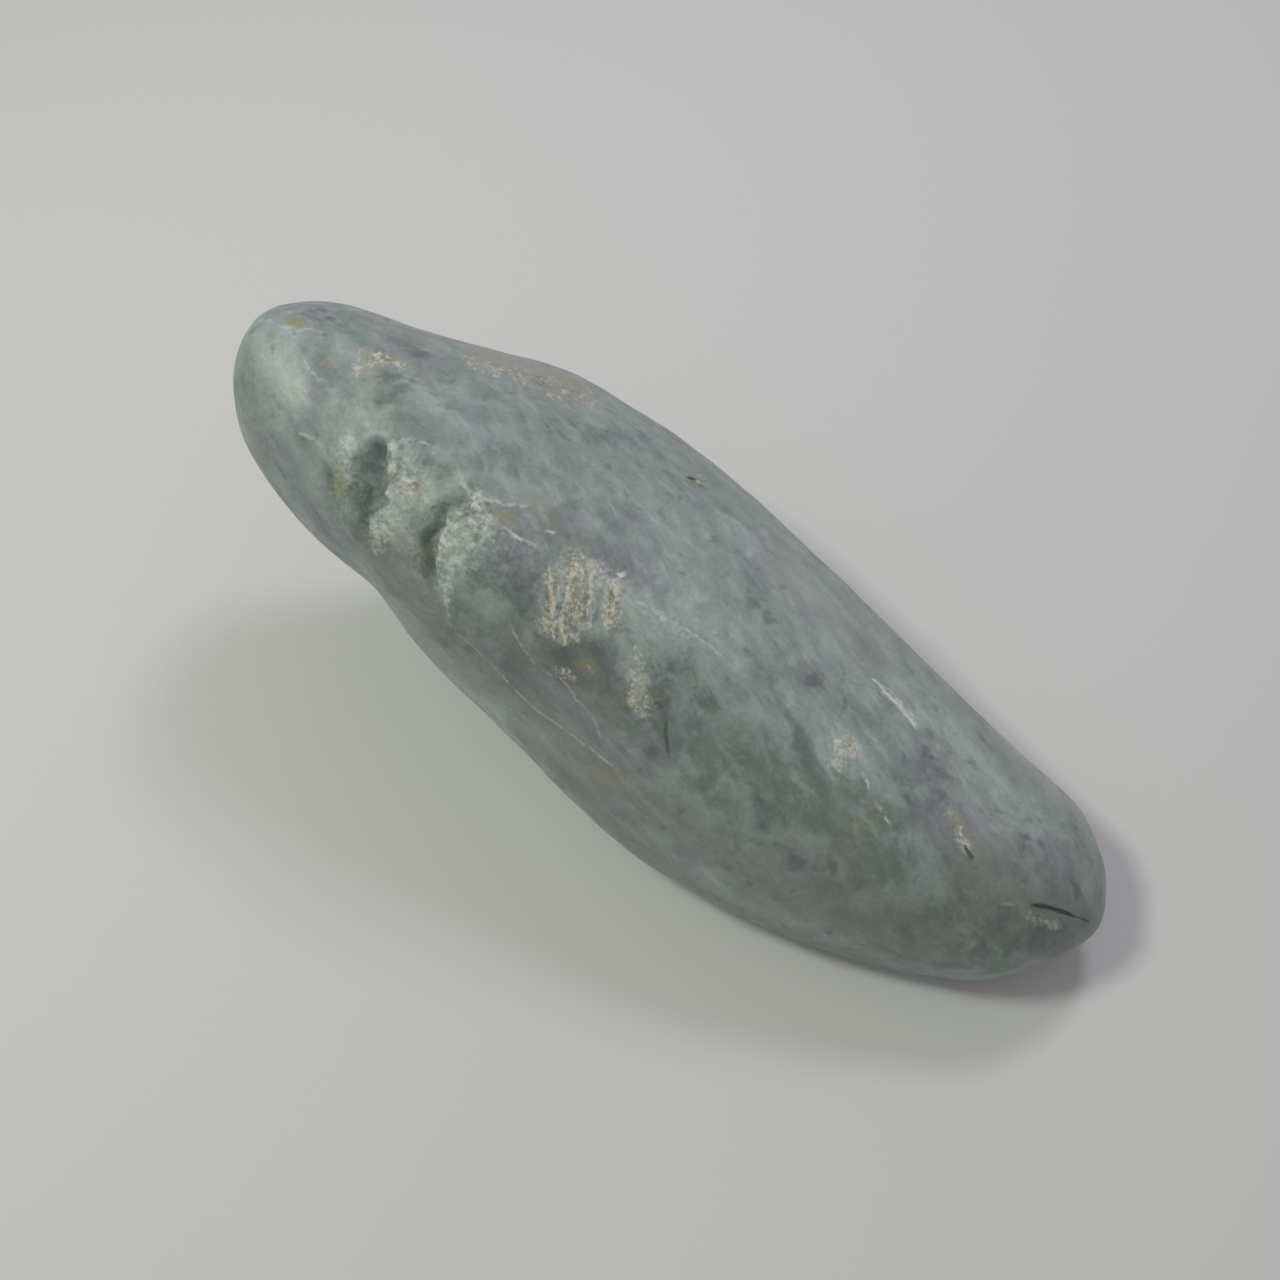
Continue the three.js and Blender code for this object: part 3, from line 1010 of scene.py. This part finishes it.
@dataclass(frozen=True)
class SeaWornJadeite:
    """Jadeite rock tumbled by the sea: a satin skin with a slight glow, never a mirror.

    Interlocked fibrous grains give it soft mottles of grey-green and lavender. Weathered
    rind is left in the hollows as chalky cream crust, iron stains it ochre, and it shows
    frosty white where knocks have bruised the grain.
    """

    name: str = "sea_worn_jadeite"
    # Jadeite's refractive index. Tumbling leaves it satin, so highlights are broad.
    ior: float = 1.66
    roughness: float = 0.48
    crust_roughness: float = 0.88
    # Light goes about a millimetre into fine-grained jadeite, which softens its shading.
    glow: float = 0.1
    glow_depth: float = 0.8
    # Lavender and green swap over every 4 to 6 mm, and the mottles in them are 1 to 3 mm long.
    clouds: Pattern = Pattern(5.0, 3, 0.55)
    mottle: Pattern = Pattern(1.5, 4, 0.55)
    moss: Pattern = Pattern(2.4, 3)
    milk: Pattern = Pattern(1.2, 4, 0.6)
    specks: Pattern = Pattern(1.4, 2)
    # Patterns wander off the straight by up to 0.8 mm each way.
    wander: Pattern = Pattern(3.0, 1)
    wander_reach: float = 1.6
    # The grain runs along the stone, aslant, and down towards the tail.
    grain_along: Point = (0.86, -0.45, -0.24)
    grain_stretch: float = 1.9
    # Single crystals are 0.1 mm and finer. They are drawn at 0.35 mm, or they would not show.
    crystals: Pattern = Pattern(0.35, 2, 0.6)
    # The crust's grains are 0.2 to 0.5 mm. It wore into low ridges across the stone.
    grit: Pattern = Pattern(0.37, 3, 0.7)
    ridges: Pattern = Pattern(0.7, 3, 0.6)
    troughs: Pattern = Pattern(0.7, 1)
    ridges_along: Point = (-0.42, 0.75, 0.5)
    ridge_stretch: float = 4.5
    # Stain, dusty rind and bruises come in patches and lumps 1 to 2 mm across.
    patches: Pattern = Pattern(1.6, 4, 0.65)
    lumps: Pattern = Pattern(0.8, 3, 0.6)
    # Veins and cracks wobble, and veins are broken by gaps. The widths are from their middles.
    wobble: Pattern = Pattern(1.1, 4, 0.7)
    gaps: Pattern = Pattern(0.7, 3)
    unbroken: Rise = Rise(0.34, 0.62)
    rust_width: float = 0.26
    vein_width: float = 0.28
    crack_width: float = 0.22
    # How much the mottles change the shade, and the crystals the roughness. Half of each is
    # taken off again, because a pattern's middle is a half.
    streaks: float = 0.85
    glitter: float = 0.12
    # Crystals and mottles stand a few hundredths of a millimetre proud.
    bump_strength: float = 0.3
    bump_depth: float = 0.05
    # The jade, from its body colour up.
    sea_green: str = "#97a7a2"
    lavender: Coat = Coat("#888c93", 0.5, 0.72, 0.85)
    deep_green: Coat = Coat("#707f75", 0.55, 0.8, 0.75)
    pale_green: Coat = Coat("#b3c1ba", 0.5, 0.75, 0.5)
    haze: Coat = Coat(pale_green.tint, 0.15, 1.25, 0.75)
    grey: Coat = Coat("#828783", 0.1, 1.1, 0.85)
    # Dark flecks. In the flake hollows they close into painted shade.
    blot_and_shade: Coat = Coat("#62666c", 0.6, 0.82, 0.6)
    # Stain, dusty rind and bruises.
    ochre: Coat = Coat("#95946c", 0.2, 1.2, 0.65)
    tan: Coat = Coat("#a6a598", 0.3, 1.1, 0.85)
    frost_shade: str = "#9ba49b"
    frost: Coat = Coat("#dce3dd", 0.42, 0.68)
    bruising: Rise = Rise(0.3, 1.2, 0.9)
    # The crust: where it lies, where it ends, and its colours from low to high.
    crusting: Rise = Rise(0.26, 0.8)
    crust_edge: Rise = Rise(0.08, 0.25, 0.95)
    chalk_shade: str = "#676a5a"
    chalk: Coat = Coat("#cecdbe", 0.54, 0.8)
    stained_troughs: Coat = Coat(ochre.tint, 0.05, 0.0, 0.5)
    rust: str = "#b1ada0"
    opening: str = "#4b4d46"

    def material(self) -> bpy.types.Material:
        """Build the finish.

        Returns:
            The material.
        """
        graph = Graph(self.name)
        place = graph.add("TexCoord", out="Object")
        place = graph.add("VectorMath", {0: place, "Scale": 1 / MM}, operation="SCALE")
        tones = {tone: graph.add("Attribute", out="Fac", attribute_name=tone.value) for tone in Tone}
        wander = self.wander.on(graph, place, "Color")
        wander = graph.add("VectorMath", {0: wander, 1: (0.5,) * 3}, operation="SUBTRACT")
        reach = (self.wander_reach,) * 3
        bent = graph.add("VectorMath", {0: wander, 1: reach, 2: place}, operation="MULTIPLY_ADD")
        grain = self.drawn_out(graph, bent, self.grain_along, self.grain_stretch)
        mottle = self.mottle.on(graph, grain)
        cloud = self.clouds.on(graph, bent)
        crystals = self.crystals.on(graph, place)

        colour = self.jade(graph, bent, grain, tones, cloud)
        bruised = graph.sum((tones[Tone.BROKEN], 1.0), (tones[Tone.FROST], 0.8), (1.0, 0.4))
        sparkle = graph.sum((crystals, 1.0), (1.0, -0.5))
        sparkle = graph.add("Math", {0: sparkle, 1: bruised}, operation="MULTIPLY")
        # The darker and lighter marks scale the colour here: partly the stone's own tone, partly
        # painted shade and painted light.
        shade = graph.sum((mottle, self.streaks), (sparkle, 1.0), (tones[Tone.DARKER_AND_SHADE], -0.35),
                          (tones[Tone.LIGHT], 0.4), (1.0, 1.0 - self.streaks / 2))
        colour = graph.add("VectorMath", {0: colour, "Scale": shade}, operation="SCALE")
        colour = self.flecks(graph, bent, colour, tones, mottle)
        colour, crust = self.rind(graph, place, colour, tones)
        colour, opening = self.lines(graph, place, colour)

        satin = graph.sum((crystals, self.glitter), (crust, self.crust_roughness - self.roughness),
                          (1.0, self.roughness - self.glitter / 2))
        height = graph.sum((crystals, 0.5), (mottle, 0.3), (opening, -1.5))
        bump = graph.add("Bump", {"Strength": self.bump_strength, "Distance": self.bump_depth * MM,
                                  "Height": height})
        depth = self.glow_depth
        shader = graph.add("BsdfPrincipled", {
            "Base Color": colour, "Roughness": satin, "IOR": self.ior, "Normal": bump,
            "Subsurface Weight": self.glow, "Subsurface Scale": MM,
            "Subsurface Radius": (depth, depth * 1.3, depth * 1.1),
        })
        graph.add("OutputMaterial", {"Surface": shader})
        return graph.material

    def drawn_out(self, graph: Graph, place: object, along: Point,
                  stretch: float) -> bpy.types.NodeSocket:
        """Coordinates on which a pattern is drawn out one way.

        Args:
            graph: The material's nodes.
            place: Position in the stone.
            along: The direction.
            stretch: How many times longer the pattern gets.

        Returns:
            The same position, shortened along that direction.
        """
        first = Vector(along).normalized()
        second = Vector((0, 0, 1)).cross(first).normalized()
        turn = Matrix((first, second, first.cross(second))).transposed().to_euler()
        inputs = {"Vector": place, "Rotation": turn, "Scale": (stretch, 1.0, 1.0)}
        return graph.add("Mapping", inputs, vector_type="TEXTURE")

    def jade(self, graph: Graph, bent: object, grain: object, tones: Mapping[Tone, object],
             cloud: object) -> bpy.types.NodeSocket:
        """The body colour of the jadeite.

        Args:
            graph: The material's nodes.
            bent: Position with a slow wander, so that patterns don't run straight.
            grain: Position drawn out along the grain.
            tones: The stone's marks.
            cloud: Slow pattern.

        Returns:
            The colour.
        """
        violet = graph.sum((cloud, 1.0), (tones[Tone.LAVENDER], 0.22))
        colour = self.lavender.over(graph, linear(self.sea_green), violet)
        moss = graph.sum((self.moss.on(graph, bent), 1.0), (tones[Tone.GREEN], 0.24))
        colour = self.deep_green.over(graph, colour, moss)
        milk = self.milk.on(graph, grain)
        colour = self.pale_green.over(graph, colour, milk)
        haze = graph.sum((tones[Tone.PALE], 1.0), (milk, 1.3), (1.0, -0.65))
        colour = self.haze.over(graph, colour, haze)
        dull = graph.sum((tones[Tone.GREY], 1.0), (milk, 0.9), (1.0, -0.45))
        return self.grey.over(graph, colour, dull)

    def flecks(self, graph: Graph, bent: object, colour: object, tones: Mapping[Tone, object],
               mottle: object) -> bpy.types.NodeSocket:
        """Scatter small dark flecks. In the flake hollows the marks crowd them into a dark sheet of
        painted shade.
            bent: Position with a slow wander.
            colour: The jade's colour.
            tones: The stone's marks.
            mottle: Streaky pattern along the grain.

        Returns:
            The colour.
        """
        fleck = self.specks.on(graph, bent)
        fleck = graph.sum((fleck, 1.0), (tones[Tone.DARK], 0.26), (mottle, -0.2), (1.0, 0.1))
        return self.blot_and_shade.over(graph, colour, fleck)

    def rind(self, graph: Graph, place: object, colour: object,
             tones: Mapping[Tone, object]) -> tuple[bpy.types.NodeSocket, bpy.types.NodeSocket]:
        """Lay the ochre stain, the frosty bruises and the chalky crust over the jade.

        Args:
            graph: The material's nodes.
            place: Position in the stone.
            colour: The jade's colour.
            tones: The stone's marks.

        Returns:
            The colour, and how much of it is crust.
        """
        ridged = self.drawn_out(graph, place, self.ridges_along, self.ridge_stretch)
        ridges = self.ridges.on(graph, ridged)
        grit = self.grit.on(graph, place)
        patchy = self.patches.on(graph, place)
        stain = graph.sum((tones[Tone.OCHRE], 1.0), (patchy, 1.4), (grit, 1.0), (1.0, -1.2))
        colour = self.ochre.over(graph, colour, stain)
        dust = graph.sum((tones[Tone.TAN], 1.2), (patchy, 2.0), (grit, 0.9), (1.0, -1.5))
        colour = self.tan.over(graph, colour, dust)
        lumps = self.lumps.on(graph, place)
        bruise = graph.sum((tones[Tone.FROST], 1.0), (tones[Tone.CHALK], 0.6), (patchy, -0.8),
                           (lumps, 1.5), (grit, 0.8), (1.0, -0.75))
        frosty = graph.sum((lumps, 0.6), (grit, 0.5))
        frosty = self.frost.over(graph, linear(self.frost_shade), frosty)
        bruise = self.bruising.of(graph, bruise)
        colour = graph.add("Mix", {0: bruise, 6: colour, 7: frosty}, 2, data_type="RGBA")
        crust = graph.sum((tones[Tone.CHALK], 1.0), (tones[Tone.DARKER_AND_SHADE], -0.6), (patchy, 0.9),
                          (ridges, 1.5), (grit, 1.5), (1.0, -1.8))
        crust = self.crusting.of(graph, crust)
        inside = self.crust_edge.of(graph, tones[Tone.CHALK])
        crust = graph.add("Math", {0: crust, 1: inside}, operation="MULTIPLY", use_clamp=True)
        light = graph.sum((grit, 0.75), (ridges, 0.6))
        dusty = self.chalk.over(graph, linear(self.chalk_shade), light)
        between = graph.sum((self.troughs.on(graph, ridged), 1.0), (grit, 0.2), (1.0, -0.6))
        between = graph.add("Math", {0: between}, operation="ABSOLUTE")
        dusty = self.stained_troughs.over(graph, dusty, between)
        colour = graph.add("Mix", {0: crust, 6: colour, 7: dusty}, 2, data_type="RGBA")
        return colour, crust

    def lines(self, graph: Graph, place: object, colour: object) -> tuple[object, object]:
        """Draw the seams.

        Args:
            graph: The material's nodes.
            place: Position in the stone.
            colour: The colour so far.

        Returns:
            The colour, and how open the surface is.
        """
        offset = graph.add("Attribute", out="Fac", attribute_name="offset")
        wobble = self.wobble.on(graph, place)
        aside = graph.sum((offset, 1.0), (wobble, 0.9), (1.0, -0.45))
        aside = graph.add("Math", {0: aside}, operation="ABSOLUTE")
        breaks = self.unbroken.of(graph, self.gaps.on(graph, place))
        opening = None
        for line, width, tint in ((Line.RUST, self.rust_width, self.rust),
                                  (Line.QUARTZ, self.vein_width, self.frost.tint),
                                  (Line.OPEN, self.crack_width, self.opening)):
            strength = graph.add("Attribute", out="Fac", attribute_name=line.value)
            across = Rise(width, 0.0).of(graph, aside)
            if line is not Line.OPEN:
                across = graph.add("Math", {0: across, 1: breaks}, operation="MULTIPLY")
            shown = graph.add("Math", {0: across, 1: strength}, operation="MULTIPLY", use_clamp=True)
            if line is Line.OPEN:
                opening = shown
            colour = graph.add("Mix", {0: shown, 6: colour, 7: linear(tint)}, 2, data_type="RGBA")
        return colour, opening


@dataclass
class Pebble:
    """The stone.

    Attributes:
        node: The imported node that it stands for.
        name: The finished stone's name.
        finish: What it is dressed in.
        cell: Side of the squares of its skin.
        fine: Strength of crust, break or crack above which the skin is made finer.
        splits: How many times it is made finer there.
        wear_rounds: Rounds of smoothing that wear the facets and scars round.
        settle_rounds: Rounds over the whole stone after that.
        blend_rounds: Rounds after each split.
        kept_sharp: Share of the wear that broken rock is spared.
    """

    node: str = "pebble"
    name: str = "jadeite_pebble"
    finish: SeaWornJadeite = field(default_factory=SeaWornJadeite)
    cell: float = 0.42
    fine: float = 0.3
    splits: int = 2
    wear_rounds: int = 40
    settle_rounds: int = 4
    blend_rounds: int = 3
    kept_sharp: float = 0.85
    # Strengths of a mark between which it takes hold.
    rough_from: tuple[float, float] = (0.2, 0.6)
    crusty_from: tuple[float, float] = (0.3, 0.8)
    bruised_from: tuple[float, float] = (0.3, 0.9)
    # Relief over the whole stone, in broken rock, in bruised breaks and along broken lips.
    seed: int = 41
    swell: Relief = Relief(0.16, 9.0, 2)
    ripple: Relief = Relief(0.04, 2.6, 2)
    chips: Relief = Relief(0.1, 1.2, 3, 50)
    crumble: Relief = Relief(0.07, 0.7, 2, 10)
    burr: Relief = Relief(0.12, 0.7, 2, 30)
    # How far a lip wanders sideways, and how white its bruised rim is.
    ragged: Relief = Relief(0.45, 1.8, 3, 70)
    lip_frost: float = 0.65
    # The crust and the ridges on it, how deep the cracks go, and how far a vein stands out.
    crust_height: float = 0.05
    ridges: Relief = Relief(0.1, SeaWornJadeite.ridges.size, 3, 90)
    crack_depth: float = 0.45
    vein_height: float = 0.03
    # Near the floor the relief dies out. What is left within a touch of it lies on it.
    worn_flat: float = 0.8
    touch: float = 0.02
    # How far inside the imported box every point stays.
    margin: float = 0.002

    def build(self, solid: bpy.types.Object) -> bpy.types.Object:
        """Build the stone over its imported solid.

        Args:
            solid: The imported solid.

        Returns:
            The finished stone.
        """
        skin = Skin.over(solid, self.cell)
        chart = Chart(skin)
        chart.settle()
        log.info("skin: %d points", len(skin.points))
        self.wear(skin, chart)
        for _ in range(self.splits):
            skin.refine(self.busy(skin, chart) > self.fine)
            skin.relax(self.blend_rounds)
        log.info("refined: %d points", len(skin.points))
        lip = self.carve(skin, chart)
        self.label(skin, chart, lip)
        skin.close_up()
        stone = bpy.data.objects.new(self.name, skin.mesh)
        skin.mesh.name = self.name
        bpy.context.scene.collection.objects.link(stone)
        skin.mesh.materials.clear()
        skin.mesh.materials.append(self.finish.material())
        return stone

    def wear(self, skin: Skin, chart: Chart) -> None:
        """Wear the flat facets round, and the scars only a little.

        Args:
            skin: The skin.
            chart: The marks on it.
        """
        broken = smooth_step(*self.rough_from, chart.tone(Tone.BROKEN, skin.points))
        skin.relax(self.wear_rounds, 1 - self.kept_sharp * broken)
        skin.relax(self.settle_rounds)

    def busy(self, skin: Skin, chart: Chart) -> np.ndarray:
        """Find where the skin will carry fine relief.

        Args:
            skin: The skin.
            chart: The marks on it.

        Returns:
            How much each vertex will carry.
        """
        points = skin.points
        opened = chart.seams(points, skin.normals)[Line.OPEN.value]
        rough = [chart.tone(tone, points) for tone in (Tone.BROKEN, Tone.CHALK)]
        return np.maximum.reduce([*rough, opened])

    def carve(self, skin: Skin, chart: Chart) -> np.ndarray:
        """Carve the relief into the skin.

        Args:
            skin: The skin.
            chart: The marks on it.

        Returns:
            How close each point is to a broken lip.
        """
        points, normals = skin.points, skin.normals
        waves = Waviness(self.seed)
        seams = chart.seams(points, normals)
        drop, lip = chart.ledges(points, normals, self.ragged.on(points, waves))
        chalk = smooth_step(*self.crusty_from, chart.tone(Tone.CHALK, points))
        broken = chart.tone(Tone.BROKEN, points)
        bruised = broken * smooth_step(*self.bruised_from, chart.tone(Tone.FROST, points))
        ridge = unit(np.array(self.finish.ridges_along))
        ridged = points - (1 - 1 / self.finish.ridge_stretch) * (points @ ridge)[:, None] * ridge
        height = self.swell.on(points, waves) + self.ripple.on(points, waves)
        height += broken * self.chips.on(points, waves)
        height += chalk * (self.crust_height + self.ridges.on(ridged, waves))
        height += lip * (self.burr.height + self.burr.on(points, waves)) - drop
        height += bruised * self.crumble.on(points, waves)
        inside = smooth_step(self.finish.crack_width, 0.0, np.abs(seams["offset"]))
        height -= self.crack_depth * inside * seams[Line.OPEN.value]
        height += self.vein_height * inside * seams[Line.QUARTZ.value]
        height *= smooth_step(0.0, self.worn_flat, points[:, 2])
        points = points + height[:, None] * normals
        low, high = (np.array(corner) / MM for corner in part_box(self.node))
        points = np.clip(points, low + self.margin, high - self.margin)
        points[:, 2] = np.where(points[:, 2] < self.touch, low[2], points[:, 2])
        skin.points = points
        return lip

    def label(self, skin: Skin, chart: Chart, lip: np.ndarray) -> None:
        """Store the tones and seams on the skin, for the material.

        Args:
            skin: The skin.
            chart: The marks on it.
            lip: How close each point is to a broken lip, where the rock is bruised white.
        """
        points, normals = skin.points, skin.normals
        for tone in Tone:
            strength = chart.tone(tone, points)
            if tone is Tone.FROST:
                strength = np.maximum(strength, self.lip_frost * lip)
            skin.note(tone.value, strength)
        for name, values in chart.seams(points, normals).items():
            skin.note(name, values)


@dataclass(frozen=True)
class Lamp:
    """A round soft lamp that faces the stone.

    Attributes:
        name: Its name.
        turn: Its turn round the stone, in degrees. At 0 it stands on the -Y side.
        climb: Its height above the floor, in degrees.
        distance: From the stone's middle.
        width: Its diameter.
        power: Its power in watts.
        tint: Its colour.
    """

    name: str
    turn: float
    climb: float
    distance: float
    width: float
    power: float
    tint: str


@dataclass
class Studio:
    """A plain pale floor, soft light and the camera.

    Attributes:
        lamps: The lamps.
        floor_side: Side of the floor.
        floor_colour: The floor's colour.
        floor_roughness: How matt it is.
        sky: Colour of the soft light from all round.
        sky_strength: How strong that light is.
        aim: Point that the camera looks at.
        turn: Camera's turn round the stone, in degrees. At 0 it looks along +Y.
        climb: Camera's height above the floor, in degrees.
        distance: From the aim to the camera.
        lens: Focal length, for a sensor of the given width.
        sensor: Sensor width.
    """

    lamps: tuple[Lamp, ...] = (
        Lamp("window", 187.0, 54.5, 300.0, 70.0, 0.192, "#f6eeff"),
        Lamp("near_lamp", 302.0, 57.0, 300.0, 60.0, 0.302, "#f9ffee"),
    )
    floor_side: float = 3000.0
    floor_colour: str = "#dfdfdf"
    floor_roughness: float = 0.7
    sky: str = "#fffdfc"
    sky_strength: float = 0.2835
    aim: Point = (-3.0, -0.7, 10.0)
    turn: float = 31.0
    climb: float = 60.0
    distance: float = 118.0
    lens: float = 38.0
    sensor: float = 36.0

    def direction(self, turn: float, climb: float) -> Vector:
        """Find the direction towards a lamp or the camera.

        Args:
            turn: Its turn round the stone, in degrees.
            climb: Its height above the floor, in degrees.

        Returns:
            The direction, of length one.
        """
        turn, climb = math.radians(turn), math.radians(climb)
        flat = math.cos(climb)
        return Vector((math.sin(turn) * flat, -math.cos(turn) * flat, math.sin(climb)))

    def face(self, thing: bpy.types.Object, turn: float, climb: float, distance: float) -> None:
        """Put a lamp or the camera somewhere, facing the aim.

        Args:
            thing: The lamp or camera.
            turn: Its turn round the stone, in degrees.
            climb: Its height above the floor, in degrees.
            distance: From the aim.
        """
        away = self.direction(turn, climb)
        thing.location = (Vector(self.aim) + away * distance) * MM
        thing.rotation_euler = away.to_track_quat("Z", "Y").to_euler()
        bpy.context.scene.collection.objects.link(thing)

    def hang(self, lamp: Lamp) -> None:
        """Hang a lamp.

        Args:
            lamp: The lamp.
        """
        data = bpy.data.lights.new(lamp.name, "AREA")
        data.shape = "DISK"
        data.size = lamp.width * MM
        data.energy = lamp.power
        data.color = linear(lamp.tint)[:3]
        self.face(bpy.data.objects.new(lamp.name, data), lamp.turn, lamp.climb, lamp.distance)

    def floor(self) -> None:
        """Lay the floor."""
        half = self.floor_side / 2 * MM
        mesh = bpy.data.meshes.new("floor")
        corners = [(-half, -half, 0), (half, -half, 0), (half, half, 0), (-half, half, 0)]
        mesh.from_pydata(corners, [], [(0, 1, 2, 3)])
        floor = bpy.data.objects.new("floor", mesh)
        bpy.context.scene.collection.objects.link(floor)
        graph = Graph("painted_board")
        paint = {"Base Color": linear(self.floor_colour), "Roughness": self.floor_roughness}
        shader = graph.add("BsdfPrincipled", paint)
        graph.add("OutputMaterial", {"Surface": shader})
        mesh.materials.append(graph.material)

    def build(self) -> None:
        """Set up the floor, the light and the camera."""
        scene = bpy.context.scene
        self.floor()
        world = bpy.data.worlds.new("soft_room")
        world.use_nodes = True
        background = world.node_tree.nodes["Background"]
        background.inputs["Color"].default_value = linear(self.sky)
        background.inputs["Strength"].default_value = self.sky_strength
        scene.world = world
        for lamp in self.lamps:
            self.hang(lamp)
        data = bpy.data.cameras.new("camera")
        data.lens, data.sensor_width, data.clip_start = self.lens, self.sensor, MM
        camera = bpy.data.objects.new("camera", data)
        self.face(camera, self.turn, self.climb, self.distance)
        scene.camera = camera
        scene.view_settings.view_transform = "Standard"


def main() -> None:
    """Build the stone and its studio."""
    logging.basicConfig(level=logging.INFO, format="%(name)s: %(message)s")
    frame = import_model()
    Studio().build()
    pebble = Pebble()
    stone = pebble.build(frame["nodes"][pebble.node])
    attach(stone, "root")
    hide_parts(pebble.node)
    log.info("%s: %d triangles", stone.name, len(stone.data.polygons))


if __name__ == "__main__":
    main()
